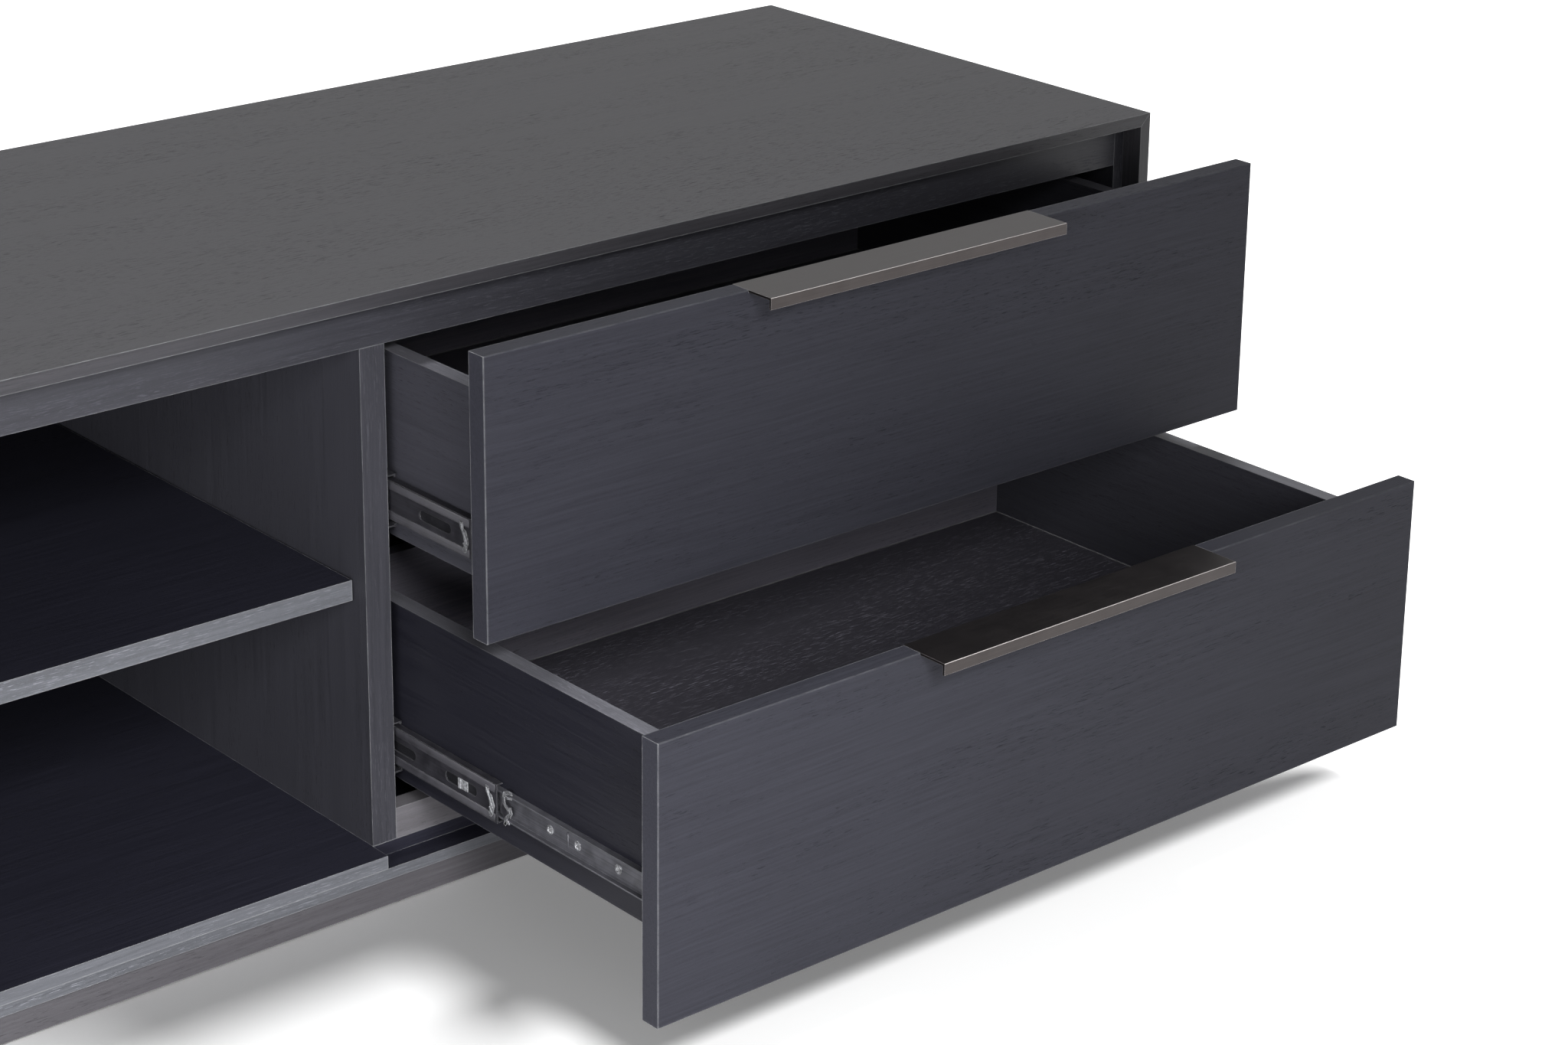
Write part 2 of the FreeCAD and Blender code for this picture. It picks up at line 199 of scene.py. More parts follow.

# The darkest and the lightest colour of each wood. Some are lighter or darker copies of one wood, as painted
# light or painted shade, as noted.
SHELL = ((0.0185, 0.018, 0.0205), (0.041, 0.040, 0.0455))
FRONT = ((0.0135, 0.0135, 0.0175), (0.0265, 0.027, 0.0345))
LINER = ((0.012, 0.012, 0.015), (0.026, 0.026, 0.032))
BOX = ((0.026, 0.025, 0.031), (0.052, 0.050, 0.061))
# The drawer backs: a lighter copy of the drawer wood, as painted light on the inside of the drawers.
LIT_BOX_BACK = ((0.060, 0.057, 0.070), (0.118, 0.113, 0.136))
# The bay rail under the lower drawer: a lighter copy of the rail wood, as painted light where the drawers'
# shade falls on it.
LIT_BAY_RAIL = ((0.050, 0.047, 0.052), (0.088, 0.085, 0.093))
# The lower drawer's outer left side: a darker copy of the drawer-side wood, as painted shade.
SHADED_BOX_SIDE = ((0.004, 0.004, 0.007), (0.012, 0.012, 0.016))
# The other drawer sides: a lighter copy of the same wood, as a painted sheen.
LIT_BOX_SIDE = ((0.016, 0.016, 0.020), (0.034, 0.034, 0.042))
# The plinth: lighter and browner than the shell, partly its own colour and partly painted light for the
# bounce off the floor.
PLINTH_AND_FLOOR_BOUNCE = ((0.034, 0.032, 0.036), (0.062, 0.060, 0.066))
# The shelf, bottom panel and floor panel: a darker copy of the shell's wood, as painted shade inside the
# open bay.
SHADED_SHELF = ((0.005, 0.005, 0.008), (0.013, 0.013, 0.020))
GLUE = ((0.022, 0.021, 0.024), (0.060, 0.057, 0.062))
# Lighter band colours: on front edges and the lining's edges the solid edging, lightened further as painted
# light that these faces catch; on the drawer sides' tops wholly painted light from above.
EDGING_AND_LIGHT = (0.062, 0.064, 0.072)
RAIL_EDGING_AND_LIGHT = (0.023, 0.023, 0.028)
PAINTED_TOP_LIGHT = (0.070, 0.070, 0.080)
# The floor panel's lighter front face ends here, where the panel steps back behind the drawer fronts; to the
# right, under the drawers, it stays dark as painted shade.
DRAWER_SHADE_START = -12 * MM

BRONZE = (0.053, 0.047, 0.046)
BLACK_STEEL = (0.017, 0.0165, 0.021)
SATIN_STEEL = (0.064, 0.064, 0.074)
# The ball cage: black plastic, made near-black as painted shade for the shadow inside the slots.
CAGE_AND_SLOT_SHADE = (0.004, 0.004, 0.006)
ZINC = ((0.030, 0.030, 0.034), (0.26, 0.265, 0.28))
BRIGHT_ZINC = ((0.10, 0.10, 0.11), (0.40, 0.41, 0.43))


def veneer(name, grain, colours, rough, pores=0.5, pale=False, wear=0.5, shine=0.2, band=None,
           band_axis="Y", band_end=None):
    """Black-stained oak: faint fibres and short open pores along the axis grain, in drifting clusters.

    pores is how strongly the pores show. They are darker than the wood, or with pale they are painted light,
    as glints on the grain.
    wear is how strongly the edges are lightened, partly as scuffs and partly as painted highlights on the
    arrises; shine is the specular level. band is a lighter colour on the faces across band_axis, as far as x
    = band_end: partly solid edging and partly painted light on front faces, and wholly painted light on
    up-facing tops. Past band_end, where given, the faces keep the darker wood, as painted shade.
    """
    dark, light = colours
    material, tree, shader = new_material(name)
    place = own_place(tree)

    drift = noise(tree, place, GRAIN_DRIFT, 2.0, 0.5)
    bent = vector_math(tree, "ADD", place, scaled(tree, (GRAIN_WANDER,) * 3, drift)).outputs[0]
    fibres = grain_noise(tree, bent, grain, FIBRES, 4.0, 0.62)
    specks = grain_noise(tree, bent, grain, PORES, 2.0, 0.55)
    crowded = grain_noise(tree, bent, grain, PORE_CLUSTERS, 3.0, 0.6)
    clusters = ranged(tree, crowded, 0.40, 0.62, 0.15, 1.0)
    pits = times(tree, ranged(tree, specks, 0.585, 0.665), clusters)
    patches = noise(tree, place, WOOD_PATCHES, 2.0, 0.5)
    grit = noise(tree, place, WOOD_GRIT, 2.0, 0.6)
    tone = ranged(tree, weighted(tree, (fibres, 0.60), (patches, 0.35), (grit, 0.25)), 0.36, 0.84)

    colour = mixed(tree, tone, shade(dark), shade(light))
    # The band: faces across band_axis are lightened, partly as solid edging and partly as painted light;
    # past band_end it stops, as painted shade.
    if band:
        banded = calculated(tree, "ABSOLUTE", part_of(tree, surface_normal(tree), band_axis), 0.0)
        banded = ranged(tree, banded, 0.6, 0.9)
        if band_end is not None:
            across = part_of(tree, object_place(tree), "X")
            banded = times(tree, banded, calculated(tree, "LESS_THAN", across, band_end))
        colour = mixed(tree, banded, colour, mixed(tree, tone, shade(band, 0.62), shade(band, 1.4)))
    # With pale, the pores are painted light, as glints on the grain.
    pore_colour = shade(light, 3.0, 0.01) if pale else shade(dark, 0.25)
    colour = mixed(tree, times(tree, pits, pores), colour, pore_colour)
    if band:
        # Pores on the band's faces are painted bright, as glints of light.
        band_pore_glints = times(tree, times(tree, pits, banded), 0.6)
        colour = mixed(tree, band_pore_glints, colour, shade(band, 3.0))
    # Edges lightened towards a pale colour, partly as scuffs and partly as painted highlights on the
    # arrises.
    scuffs = ranged(tree, noise(tree, place, SCUFFS, 4.0, 0.65), 0.28, 0.60, 0.25, 1.0)
    worn = times(tree, times(tree, edge_wear(tree, WOOD_WEAR), scuffs), wear)
    plug(tree, shader.inputs["Base Color"], mixed(tree, worn, colour, shade(SCUFFED_AND_HIGHLIT_WOOD)))

    gloss = weighted(tree, (fibres, 0.14), (pits, 0.25), (patches, 0.10))
    gloss = calculated(tree, "ADD", gloss, rough - 0.12, clamp=True)
    plug(tree, shader.inputs["Roughness"], gloss)
    plug(tree, shader.inputs["Specular IOR Level"], shine)
    height = calculated(tree, "SUBTRACT", times(tree, fibres, 0.35), pits)
    bumped(tree, shader, height, 0.45, 0.3 * MM)
    return material


def brushed_metal(name, grain, colour, rough, wear, contrast):
    """Metal with scratches along the axis grain, duller patches, edges painted bright as wear and partly as
    painted highlights, and a painted highlight along the front bend.
    """
    material, tree, shader = new_material(name)
    place = own_place(tree)
    scratches = grain_noise(tree, place, grain, SCRATCHES, 3.0, 0.6)
    patches = noise(tree, place, METAL_PATCHES, 3.0, 0.55)
    tone = ranged(tree, weighted(tree, (scratches, 0.7), (patches, 0.5)), 0.35, 0.9,
                  1.0 - contrast, 1.0 + contrast)
    normal = surface_normal(tree)
    # The product is at its lowest, -0.5, half way round the bend between front (-Y) and up (+Z).
    slope = times(tree, part_of(tree, normal, "Y"), part_of(tree, normal, "Z"))
    # The bend is painted bright here, as a painted highlight where the bend faces the light.
    bend_highlight = ranged(tree, slope, -0.30, -0.46, 0.0, 0.8)
    # Edges and the bend share one bright mask: the edges partly real wear and partly painted highlights, the
    # bend wholly painted highlight.
    worn = calculated(tree, "MAXIMUM", times(tree, edge_wear(tree, METAL_WEAR), wear), bend_highlight)
    worn_and_highlit_colour = mixed(tree, worn, scaled(tree, colour, tone), shade(colour, 6.0, 0.25))
    plug(tree, shader.inputs["Base Color"], worn_and_highlit_colour)
    plug(tree, shader.inputs["Metallic"], ranged(tree, worn, 0.0, 1.0, 1.0, 0.15))
    gloss = weighted(tree, (scratches, 0.18), (patches, 0.06))
    gloss = calculated(tree, "ADD", gloss, rough - 0.15, clamp=True)
    plug(tree, shader.inputs["Roughness"], gloss)
    bumped(tree, shader, scratches, 0.2, 0.1 * MM)
    return material


def plated(name, colour, rough, wear=0.3):
    """Smooth dark-plated steel with faint mottling and worn edges."""
    material, tree, shader = new_material(name)
    place = own_place(tree)
    mottle = noise(tree, place, STEEL_MOTTLE, 4.0, 0.6)
    drawn = grain_noise(tree, place, "y", DRAW_LINES, 2.0, 0.5)
    tone = ranged(tree, calculated(tree, "ADD", mottle, drawn), 0.7, 1.3, 0.6, 1.45)
    worn = times(tree, edge_wear(tree, METAL_WEAR), wear)
    plug(tree, shader.inputs["Base Color"], mixed(tree, worn, scaled(tree, colour, tone), shade(WORN_STEEL)))
    plug(tree, shader.inputs["Metallic"], 0.5)
    plug(tree, shader.inputs["Roughness"], ranged(tree, mottle, 0.3, 0.7, rough - 0.08, rough + 0.12))
    bumped(tree, shader, mottle, 0.15, 0.1 * MM)
    return material


def zinc(name, colours):
    """Zinc with grey blooms, dull enough to catch light from every side."""
    dark, light = colours
    material, tree, shader = new_material(name)
    bloom = noise(tree, own_place(tree), ZINC_BLOOM, 4.0, 0.65)
    colour = mixed(tree, ranged(tree, bloom, 0.35, 0.65), shade(dark), shade(light))
    worn = times(tree, edge_wear(tree, ZINC_WEAR), 0.5)
    plug(tree, shader.inputs["Base Color"], mixed(tree, worn, colour, shade(WORN_ZINC)))
    plug(tree, shader.inputs["Metallic"], 0.55)
    plug(tree, shader.inputs["Roughness"], ranged(tree, bloom, 0.3, 0.7, 0.38, 0.6))
    bumped(tree, shader, bloom, 0.35, 0.3 * MM)
    return material


def felt(name, colours):
    dark, light = colours
    material, tree, shader = new_material(name)
    fluff = noise(tree, own_place(tree), FELT_FLUFF, 5.0, 0.7)
    plug(tree, shader.inputs["Base Color"], mixed(tree, fluff, shade(dark), shade(light)))
    plug(tree, shader.inputs["Roughness"], 0.95)
    bumped(tree, shader, fluff, 0.6, 0.4 * MM)
    return material


woods = {
    "top": veneer("oak_top", "x", SHELL, 0.42, wear=0.6),
    "shelf": veneer("oak_shaded_shelf", "x", SHADED_SHELF, 0.46, pores=0.35, shine=0.15, band=EDGING_AND_LIGHT),
    # The floor panel: its lighter band stops at the drawer bay, leaving painted shade under the drawers.
    "bay_floor": veneer("oak_shaded_bay_floor", "x", SHADED_SHELF, 0.46, shine=0.15, band=EDGING_AND_LIGHT, band_end=DRAWER_SHADE_START),
    "side": veneer("oak_side", "z", SHELL, 0.42, pores=0.8),
    "front": veneer("oak_front", "x", FRONT, 0.45, pores=0.45, wear=0.6, shine=0.05),
    "liner": veneer("oak_liner", "z", LINER, 0.42, band=RAIL_EDGING_AND_LIGHT),
    "rail": veneer("oak_rail", "x", LINER, 0.42, wear=0.4, band=RAIL_EDGING_AND_LIGHT),
    "lit_low_rail": veneer("oak_lit_low_rail", "x", LIT_BAY_RAIL, 0.42, wear=0.4),
    # Both drawer-side woods take painted light from above as their band on up-facing tops.
    "shaded_box_side": veneer("oak_shaded_box_side", "y", SHADED_BOX_SIDE, 0.38, wear=0.25, band=PAINTED_TOP_LIGHT, band_axis="Z"),
    "lit_box_side": veneer("oak_lit_box_side", "y", LIT_BOX_SIDE, 0.38, wear=0.25, band=PAINTED_TOP_LIGHT, band_axis="Z"),
    "lit_box_back": veneer("oak_lit_box_back", "x", LIT_BOX_BACK, 0.38, wear=0.4),
    "box_floor": veneer("oak_box_floor", "x", BOX, 0.36, pores=0.9, pale=True, wear=0.2),
    "plinth": veneer("oak_plinth_and_floor_bounce", "x", PLINTH_AND_FLOOR_BOUNCE, 0.45, wear=0.3),
}
materials = {
    **woods,
    "pull": brushed_metal("bronze_pull", "x", BRONZE, 0.36, wear=0.45, contrast=0.22),
    "steel": plated("black_steel", BLACK_STEEL, 0.54),
    "satin_steel": plated("satin_steel", SATIN_STEEL, 0.42),
    "zinc": zinc("zinc_steel", ZINC),
    "bright_zinc": zinc("bright_zinc", BRIGHT_ZINC),
    "felt": felt("glide_felt", FELT),
    "cage_and_slot_shade": plated("cage_plastic_and_slot_shade", CAGE_AND_SLOT_SHADE, 0.6, wear=0.0),
    "glue": veneer("glue_line", "x", GLUE, 0.6, pores=0.3),
}

# The material of each node: the first pattern that its name fits.
KINDS = (
    ("*_pull", "pull"),
    ("*screws*", "zinc"),
    ("*balls*", "zinc"),
    ("*pins*", "zinc"),
    ("*slide_inner", "satin_steel"),
    ("*batten*", "rail"),
    ("*_slide_*", "steel"),
    ("glide_pads", "felt"),
    ("plinth*", "plinth"),
    ("*drawer_front", "front"),
    ("*drawer_bottom", "box_floor"),
    ("*drawer_back", "lit_box_back"),
    ("lower_drawer_left_side", "shaded_box_side"),
    ("*_drawer_*", "lit_box_side"),
    ("floor_panel", "bay_floor"),
    ("shelf", "shelf"),
    ("bottom_panel", "shelf"),
    ("top_panel", "top"),
    ("bay_rail", "lit_low_rail"),
    ("*side_panel", "side"),
    ("divider", "liner"),
    ("*_liner", "liner"),
    ("*", "rail"),
)
# The rounding of each material's edges.
ROUNDINGS = {**dict.fromkeys(woods, 0.7 * MM), "pull": 0.5 * MM}


def soften(piece, width):
    """A small rounding on every sharp edge, as a sanded or rolled edge has."""
    bevel = piece.modifiers.new("soft_edges", "BEVEL")
    bevel.width = width
    bevel.segments = 2
    bevel.limit_method = "ANGLE"
    bevel.angle_limit = math.radians(35)


for name, piece in nodes.items():
    kind = next(kind for pattern, kind in KINDS if fnmatchcase(name, pattern))
    piece.data.materials.clear()
    piece.data.materials.append(materials[kind])
    if kind in ROUNDINGS:
        soften(piece, ROUNDINGS[kind])


# ---------------------------------------------------------------- slide hardware

# The constants are in millimetres. Outlines are chains of (y, z) points: y from the front end of a member,
# and z from its middle height. web is the x of an intermediate member's web, on its cabinet side, and way is
# the x direction from the cabinet towards the drawer.
WAYS = {"left": 1, "right": -1}

BEAD_HEIGHT, BEAD_HALF, BEAD_RISE, BEAD_SHY, BEAD_STEPS = 13.0, 3.7, 0.75, 2.0, 12

CATCH_PLATE = ((13.0, 13.0), (9.5, 12.4), (8.8, 8.0), (5.2, 6.2), (3.4, 2.0), (1.6, -2.0), (2.6, -6.5),
               (5.5, -12.6), (8.6, -13.0), (9.4, -9.5), (7.0, -7.5), (7.6, -3.0), (8.4, 1.0), (10.2, 4.5),
               (12.6, 7.5))
CATCH_RIBS = (((12.0, 11.5), (7.0, 2.0), (4.0, -4.5)), ((8.0, -4.5), (3.5, -10.5)))
CATCH_PROUD, CATCH_BACK = 1.5, 0.7
RIB_WIDTH, RIB_PROUD, RIB_BACK = 1.3, 2.1, 1.4
# The stop tab in the first slot: a plate and its raised end, as start, end and how far it stands proud.
STOP_TABS = ((40.0, 49.0, 0.2), (49.0, 52.0, 0.9))
STOP_TAB_HALF, STOP_TAB_BACK = 4.4, 0.8

# The release lever's strips, each with its width.
LEVER_STRIPS = (
    (((-19.0, 15.4), (-14.5, 15.0), (-8.5, 12.5), (-7.5, 8.0), (-8.5, 3.0), (-13.5, -0.5), (-15.0, -4.5),
      (-11.0, -8.5), (-8.5, -15.6)), 3.0),
    (((-18.5, 11.0), (-13.0, 9.5), (-8.5, 10.5)), 1.8),
    (((-8.5, -15.0), (-13.5, -11.0), (-14.5, -13.5)), 2.2),
    (((-16.0, 2.5), (-18.0, -2.0), (-15.5, -6.5)), 2.2),
)
LEVER_NEAR, LEVER_FAR = 1.28, 1.74
PAD_CENTRE, PAD_HALVES, PAD_STEPS = (-9.5, -2.5), (5.0, 6.5), 20
PAD_BACK, PAD_FRONT = 0.02, 0.3

WEB_MARKS = (11.0, 130.0)
MARK_SUNK, MARK_RISE, MARK_HALF, MARK_REACH, MARK_STEPS = 1.2, 0.7, 0.9, 6.5, 8

# Distances of each member's screws from its front end.
SCREW_SPOTS = {"outer": (35, 163, 260, 390), "inner": (65, 117, 153, 380)}
HEAD_SPREAD, HEAD_SIDES, HEAD_RINGS = 1.25, 40, 12
HEAD_DOME, HEAD_SKIRT = 0.35, 1.1
# The cross recess: its depth, and its half width and reach as shares of the head's radius.
CROSS_DEPTH, CROSS_MIDDLE_DEPTH, CROSS_HALF, CROSS_REACH = 1.0, 1.2, 0.17, 0.62

CAGE_SHY, CAGE_HALF, CAGE_NEAR, CAGE_FAR = 20, 5.5, 1.21, 1.26

GLUE_LEG, GLUE_SINK = 0.8, 0.1


def mesh_piece(name, mesh, kind, body, smooth=False):
    """A finished bmesh as an object of that material, riding on a body."""
    data = bpy.data.meshes.new(name)
    bmesh.ops.recalc_face_normals(mesh, faces=mesh.faces)
    mesh.to_mesh(data)
    mesh.free()
    data.materials.append(materials[kind])
    if smooth:
        data.shade_smooth()
    piece = bpy.data.objects.new(name, data)
    bpy.context.scene.collection.objects.link(piece)
    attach(piece, body)
    return piece


def extruded(mesh, outline, axis, start, end):
    """Adds a solid: a closed outline of points, set along an axis at start and at end, and joined."""
    near = [mesh.verts.new(Vector(point) + AXES[axis] * start) for point in outline]
    far = [mesh.verts.new(Vector(point) + AXES[axis] * end) for point in outline]
    mesh.faces.new(near)
    mesh.faces.new(list(reversed(far)))
    count = len(outline)
    for index in range(count):
        after = (index + 1) % count
        mesh.faces.new((near[index], near[after], far[after], far[index]))


def ribbon(mesh, path, width, x_near, x_far):
    """Adds a bent strip of sheet metal: path is a chain of points at x = 0, width across it."""
    left, right = [], []
    for index, point in enumerate(path):
        before = path[max(index - 1, 0)]
        after = path[min(index + 1, len(path) - 1)]
        ahead = (after - before).normalized()
        side = Vector((0, -ahead.z, ahead.y)) * (width / 2)
        left.append(point + side)
        right.append(point - side)
    extruded(mesh, left + right[::-1], "x", x_near, x_far)


def placed(outline, x, start):
    """An outline in millimetres as points in the plane at x, from a start as y and z."""
    y, z = start
    return [Vector((x, y + along * MM, z + up * MM)) for along, up in outline]


def middle_height(low, high):
    return (low.z + high.z) / 2


def start_of(member):
    """A member's front end and its middle height, as y and z."""
    low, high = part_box(member)
    return low.y, middle_height(low, high)


def race_beads(drawer, side, web, way):
    """The rounded shoulders above and below the web of an intermediate member."""
    low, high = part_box(f"{drawer}_{side}_slide_middle")
    mesh = bmesh.new()
    for sign in (-1, 1):
        middle = middle_height(low, high) + sign * BEAD_HEIGHT * MM
        outline = []
        for step in range(BEAD_STEPS + 1):
            turn = math.pi * step / BEAD_STEPS
            rise = BEAD_RISE * math.sin(turn) ** 0.5
            outline.append((web - way * rise * MM, 0, middle + BEAD_HALF * MM * math.cos(turn)))
        extruded(mesh, outline, "y", low.y + BEAD_SHY * MM, high.y - BEAD_SHY * MM)
    mesh_piece(f"{drawer}_{side}_race_beads", mesh, "steel", f"{drawer}_slide_middles", smooth=True)


def ball_cage_and_slot_shade(drawer, side, web, way):
    """The strip of the ball cage, seen through the slots of an intermediate member, near-black as painted
    shade deep in the slots.
    """
    low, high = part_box(f"{drawer}_{side}_slide_middle")
    centre = middle_height(low, high)
    near, far = low.y + CAGE_SHY * MM, high.y - CAGE_SHY * MM
    bottom, top = centre - CAGE_HALF * MM, centre + CAGE_HALF * MM
    mesh = bmesh.new()
    strip = [(web, near, bottom), (web, far, bottom), (web, far, top), (web, near, top)]
    extruded(mesh, strip, "x", way * CAGE_NEAR * MM, way * CAGE_FAR * MM)
    mesh_piece(f"{drawer}_{side}_ball_cage", mesh, "cage_and_slot_shade", f"{drawer}_slide_middles")


def front_catch(drawer, side, web, way):
    """The zinc retainer plate at the front end of an intermediate member, with its two ribs."""
    start = start_of(f"{drawer}_{side}_slide_middle")
    mesh = bmesh.new()
    plate = placed(CATCH_PLATE, web, start)
    extruded(mesh, plate, "x", -way * CATCH_PROUD * MM, -way * CATCH_BACK * MM)
    near, far = web - way * RIB_PROUD * MM, web - way * RIB_BACK * MM
    for rib in CATCH_RIBS:
        ribbon(mesh, placed(rib, 0, start), RIB_WIDTH * MM, near, far)
    mesh_piece(f"{drawer}_{side}_front_catch", mesh, "zinc", f"{drawer}_slide_middles")


def stop_tab(drawer, side, web, way):
    """The bright tab in the first slot of an intermediate member."""
    start = start_of(f"{drawer}_{side}_slide_middle")
    mesh = bmesh.new()
    for near, far, proud in STOP_TABS:
        tab = ((near, -STOP_TAB_HALF), (near, STOP_TAB_HALF), (far, STOP_TAB_HALF), (far, -STOP_TAB_HALF))
        extruded(mesh, placed(tab, web, start), "x", -way * proud * MM, way * STOP_TAB_BACK * MM)
    mesh_piece(f"{drawer}_{side}_stop_tab", mesh, "bright_zinc", f"{drawer}_slide_middles")


def release_lever(drawer, side, web, way):
    """The zinc lever and its pad on a drawer's member, just ahead of the intermediate member at rest."""
    start = start_of(f"{drawer}_{side}_slide_middle")[0], start_of(f"{drawer}_{side}_slide_inner")[1]
    near, far = web + way * LEVER_NEAR * MM, web + way * LEVER_FAR * MM
    mesh = bmesh.new()
    for strip, width in LEVER_STRIPS:
        ribbon(mesh, placed(strip, 0, start), width * MM, near, far)
    mesh_piece(f"{drawer}_{side}_release_lever", mesh, "zinc", f"{drawer}_drawer")

    pad = []
    for step in range(PAD_STEPS):
        turn = 2 * math.pi * step / PAD_STEPS
        pad.append((PAD_CENTRE[0] + PAD_HALVES[0] * math.cos(turn),
                    PAD_CENTRE[1] + PAD_HALVES[1] * math.sin(turn)))
    mesh = bmesh.new()
    extruded(mesh, placed(pad, 0, start), "x", near + way * PAD_BACK * MM, near + way * PAD_FRONT * MM)
    mesh_piece(f"{drawer}_{side}_lever_pad", mesh, "steel", f"{drawer}_drawer")


def web_marks(drawer, side, way):
    """Pressed ridges across the web of a drawer's member: near its front end and near its second screw."""
    low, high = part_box(f"{drawer}_{side}_slide_inner")
    centre = middle_height(low, high)
    face = (high.x if way > 0 else low.x) - way * MARK_SUNK * MM
    mesh = bmesh.new()
    for spot in WEB_MARKS:
        outline = []
        for step in range(MARK_STEPS + 1):
            turn = math.pi * step / MARK_STEPS
            outline.append((face - way * MARK_RISE * MM * math.sin(turn),
                            low.y + (spot + MARK_HALF * math.cos(turn)) * MM, 0))
        extruded(mesh, outline, "z", centre - MARK_REACH * MM, centre + MARK_REACH * MM)
    mesh_piece(f"{drawer}_{side}_web_marks", mesh, "satin_steel", f"{drawer}_drawer", smooth=True)


def head_depth(ring, reach, turn):
    """How far a screw head's surface lies below the top of its dome, in millimetres."""
    if ring == 0:
        return CROSS_MIDDLE_DEPTH
    across, up = abs(reach * math.cos(turn)), abs(reach * math.sin(turn))
    recessed = min(across, up) < CROSS_HALF and max(across, up) < CROSS_REACH
    skirt = HEAD_SKIRT if ring == HEAD_RINGS else 0.0
    return HEAD_DOME * reach * reach + (CROSS_DEPTH if recessed else 0.0) + skirt


def pan_heads(drawer, side, member, way, body):
    """Domed heads with a cross recess for the screws of a member, each turned by its own amount."""
    source = f"{drawer}_{side}_{member}_screws"
    low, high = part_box(source)
    centre = middle_height(low, high)
    half = (high.z - low.z) / 2
    inward = way if member == "inner" else -way
    crown = low.x if inward > 0 else high.x
    spots = SCREW_SPOTS[member]
    mesh = bmesh.new()
    for spot in spots:
        y = low.y + half + (spot - spots[0]) * MM
        rings = []
        for ring in range(HEAD_RINGS + 1):
            reach = ring / HEAD_RINGS
            row = []
            for step in range(HEAD_SIDES):
                turn = 2 * math.pi * step / HEAD_SIDES
                depth = head_depth(ring, reach, turn + spot)
                radius = half * HEAD_SPREAD * reach
                row.append(mesh.verts.new((crown + inward * depth * MM, y + radius * math.cos(turn),
                                           centre + radius * math.sin(turn))))
            rings.append(row)
        for inner_row, outer_row in zip(rings, rings[1:]):
            for step in range(HEAD_SIDES):
                after = (step + 1) % HEAD_SIDES
                mesh.faces.new((inner_row[step], inner_row[after], outer_row[after], outer_row[step]))
        mesh.faces.new(rings[-1])
    bmesh.ops.remove_doubles(mesh, verts=mesh.verts, dist=0.001 * MM)
    piece = mesh_piece(f"{source}_heads", mesh, "zinc", body)
    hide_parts(source)


def glue_line(drawer):
    """The light line of glue where a drawer's floor meets its four walls."""
    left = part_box(f"{drawer}_drawer_left_side")[1].x
    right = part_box(f"{drawer}_drawer_right_side")[0].x
    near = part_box(f"{drawer}_drawer_front")[1].y
    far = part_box(f"{drawer}_drawer_back")[0].y
    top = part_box(f"{drawer}_drawer_bottom")[1].z
    mesh = bmesh.new()
    rings = []
    for inset, rise in ((-GLUE_SINK, -GLUE_SINK), (-GLUE_SINK, GLUE_LEG), (GLUE_LEG, -GLUE_SINK)):
        inset, rise = inset * MM, rise * MM
        rings.append([mesh.verts.new((x, y, top + rise)) for x, y in (
            (left + inset, near + inset), (right - inset, near + inset),
            (right - inset, far - inset), (left + inset, far - inset))])
    for index, ring in enumerate(rings):
        following = rings[(index + 1) % len(rings)]
        for corner in range(4):
            after = (corner + 1) % 4
            mesh.faces.new((ring[corner], ring[after], following[after], following[corner]))
    mesh_piece(f"{drawer}_glue_line", mesh, "glue", f"{drawer}_drawer")


for drawer in ("upper", "lower"):
    for side, way in WAYS.items():
        low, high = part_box(f"{drawer}_{side}_slide_middle")
        web = low.x if way > 0 else high.x
        race_beads(drawer, side, web, way)
        ball_cage_and_slot_shade(drawer, side, web, way)
        if drawer == "lower":
            stop_tab(drawer, side, web, way)
        front_catch(drawer, side, web, way)
        release_lever(drawer, side, web, way)
        web_marks(drawer, side, way)
        pan_heads(drawer, side, "inner", way, f"{drawer}_drawer")
        pan_heads(drawer, side, "outer", way, "carcass")
    glue_line(drawer)


# ---------------------------------------------------------------- stage

FLOOR_REACH = 30.0
PAPER_WHITE = (0.92, 0.92, 0.92)
PAPER_GLOW = 0.19
# The strength of the surroundings, as a ramp along y: (y, strength) in front and behind.
SKY_FRONT = (-0.3, 0.16)
SKY_BACK = (0.9, 0.76)

CAMERA_PLACE = (-1.5179, -2.3197, 1.4162)
CAMERA_TURNS = (71.3086, -0.6105, -40.4872)
CAMERA_LENS = 82.06
CAMERA_SHIFTS = (0.0064, -0.1203)


def floor():
    mesh = bpy.data.meshes.new("floor")
    corners = [(x * FLOOR_REACH, y * FLOOR_REACH, 0) for x, y in ((-1, -1), (1, -1), (1, 1), (-1, 1))]
    mesh.from_pydata(corners, [], [(0, 1, 2, 3)])
    piece = bpy.data.objects.new("floor", mesh)
    bpy.context.scene.collection.objects.link(piece)
    material, tree, shader = new_material("floor_paper")
    plug(tree, shader.inputs["Base Color"], shade(PAPER_WHITE))
    plug(tree, shader.inputs["Emission Color"], (1.0, 1.0, 1.0, 1.0))
    plug(tree, shader.inputs["Emission Strength"], PAPER_GLOW)
    plug(tree, shader.inputs["Roughness"], 0.9)
    plug(tree, shader.inputs["Specular IOR Level"], 0.1)
    mesh.materials.append(material)
    return piece


def receivers(name, pieces):
    """A collection for the pieces that a light is limited to."""
    group = bpy.data.collections.new(name)
    for piece in pieces:
        group.objects.link(piece)
    return group


def lamp(name, data, travel, lit):
    """A light that shines along travel, on the collection lit only if one is given."""
    made = bpy.data.objects.new(name, data)
    made.rotation_euler = Vector(travel).to_track_quat("-Z", "Y").to_euler()
    bpy.context.scene.collection.objects.link(made)
    if lit:
        made.light_linking.receiver_collection = lit
    return made


def sun(name, travel, angle, strength, lit=None):
    """A sun of that angle across, in degrees."""
    data = bpy.data.lights.new(name, "SUN")
    data.angle = math.radians(angle)
    data.energy = strength
    lamp(name, data, travel, lit)


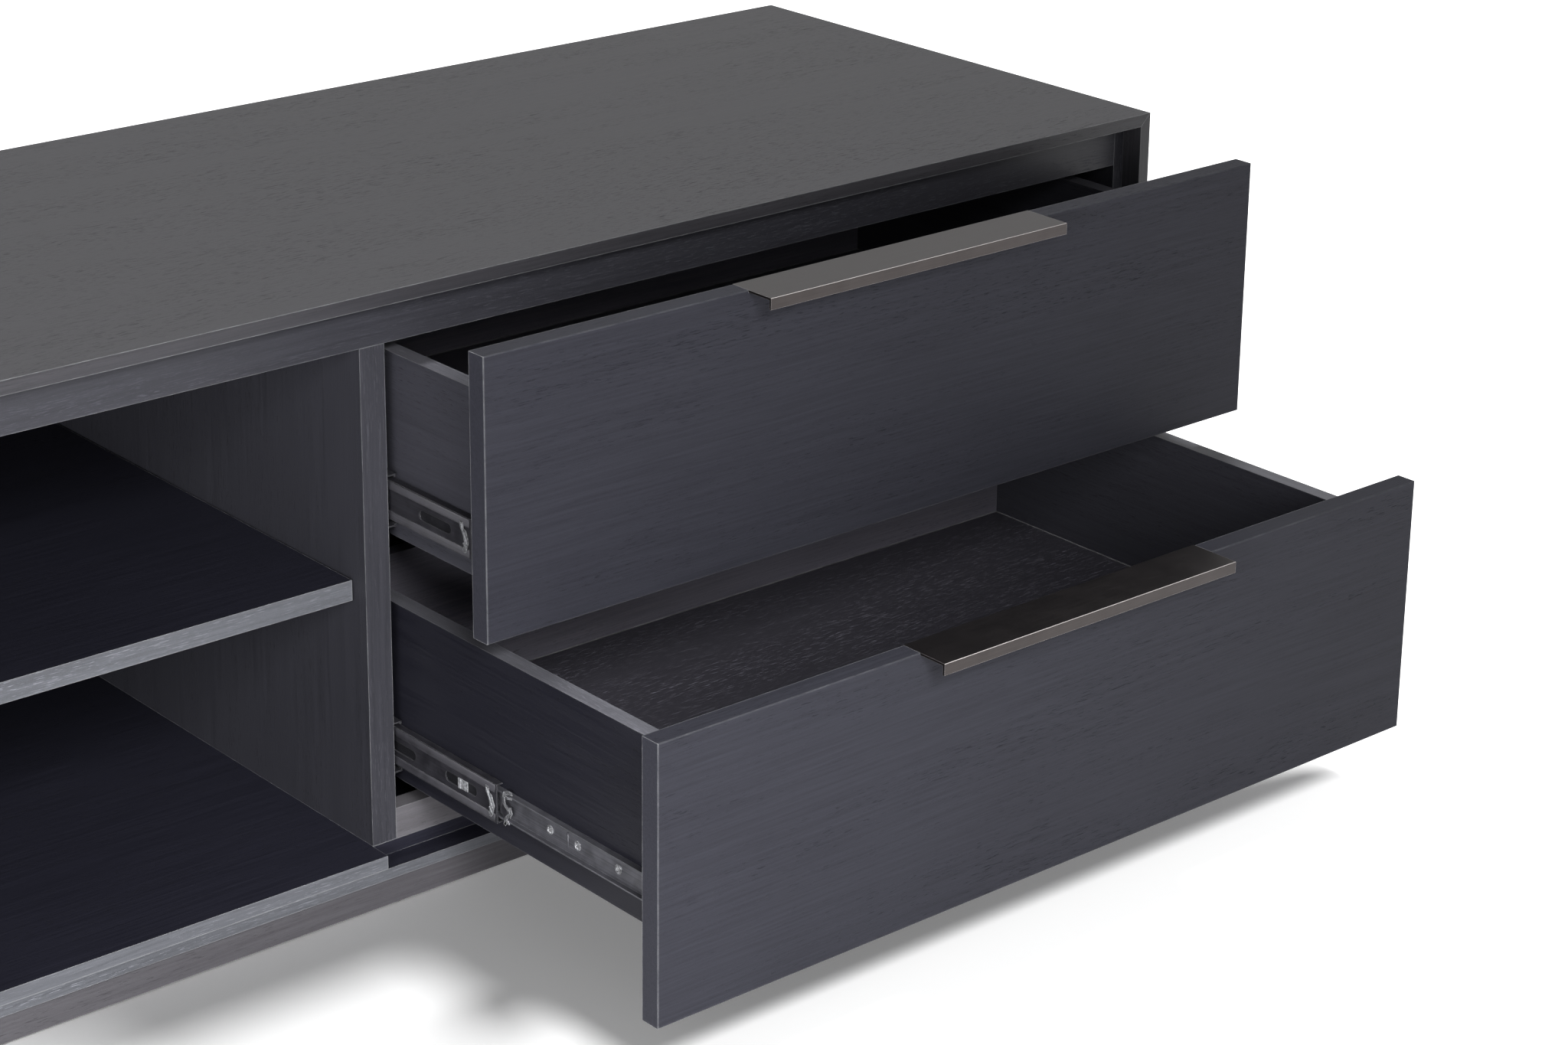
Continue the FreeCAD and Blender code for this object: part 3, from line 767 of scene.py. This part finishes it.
def softbox(name, place, target, size, power, lit, spread=180.0):
    """A rectangular light: its size in metres, its power in watts and its spread in degrees."""
    data = bpy.data.lights.new(name, "AREA")
    data.shape = "RECTANGLE"
    data.size, data.size_y = size
    data.energy = power
    data.spread = math.radians(spread)
    made = lamp(name, data, Vector(target) - Vector(place), lit)
    made.location = place
    made.visible_camera = False


def surroundings():
    """A white sky that is brighter behind the dresser than in front of it."""
    world = bpy.data.worlds.new("studio")
    bpy.context.scene.world = world
    world.use_nodes = True
    tree = world.node_tree
    sky = tree.nodes["Background"]
    plug(tree, sky.inputs["Color"], (1.0, 1.0, 1.0, 1.0))
    toward = node(tree, "ShaderNodeTexCoord").outputs["Generated"]
    strength = ranged(tree, part_of(tree, toward, "Y"), SKY_FRONT[0], SKY_BACK[0], SKY_FRONT[1], SKY_BACK[1])
    plug(tree, sky.inputs["Strength"], strength)


def lights(paper):
    """Two suns and two softboxes. The floor's shadow runs two ways, so one sun lights only the floor."""
    pieces = [piece for piece in bpy.data.objects if piece.type == "MESH" and piece != paper]
    only_dresser = receivers("dresser", pieces)
    only_paper = receivers("paper", [paper])
    sun("overhead", (-0.15, -0.155, -1.0), 9.0, 2.6)
    sun("front_right", (-1.5, 0.6, -1.0), 16.0, 4.4, only_paper)
    softbox("left_window", (-1.6, -1.35, 0.55), (0.2, -0.3, 0.25), (0.9, 0.7), 48, only_dresser)
    softbox("front_fill", (-0.9, -2.3, 1.55), (-0.3, -0.4, -0.08), (1.2, 1.0), 16, only_dresser, 46.0)


def camera():
    data = bpy.data.cameras.new("camera")
    data.sensor_width = 36.0
    data.lens = CAMERA_LENS
    data.shift_x, data.shift_y = CAMERA_SHIFTS
    data.clip_end = 100.0
    viewer = bpy.data.objects.new("camera", data)
    viewer.location = CAMERA_PLACE
    viewer.rotation_euler = Euler([math.radians(turn) for turn in CAMERA_TURNS], "XYZ")
    bpy.context.scene.collection.objects.link(viewer)
    bpy.context.scene.camera = viewer


paper = floor()
surroundings()
lights(paper)
camera()
view = bpy.context.scene.view_settings
view.view_transform = "Standard"
view.look = "None"
view.exposure = 0.0
view.gamma = 1.0
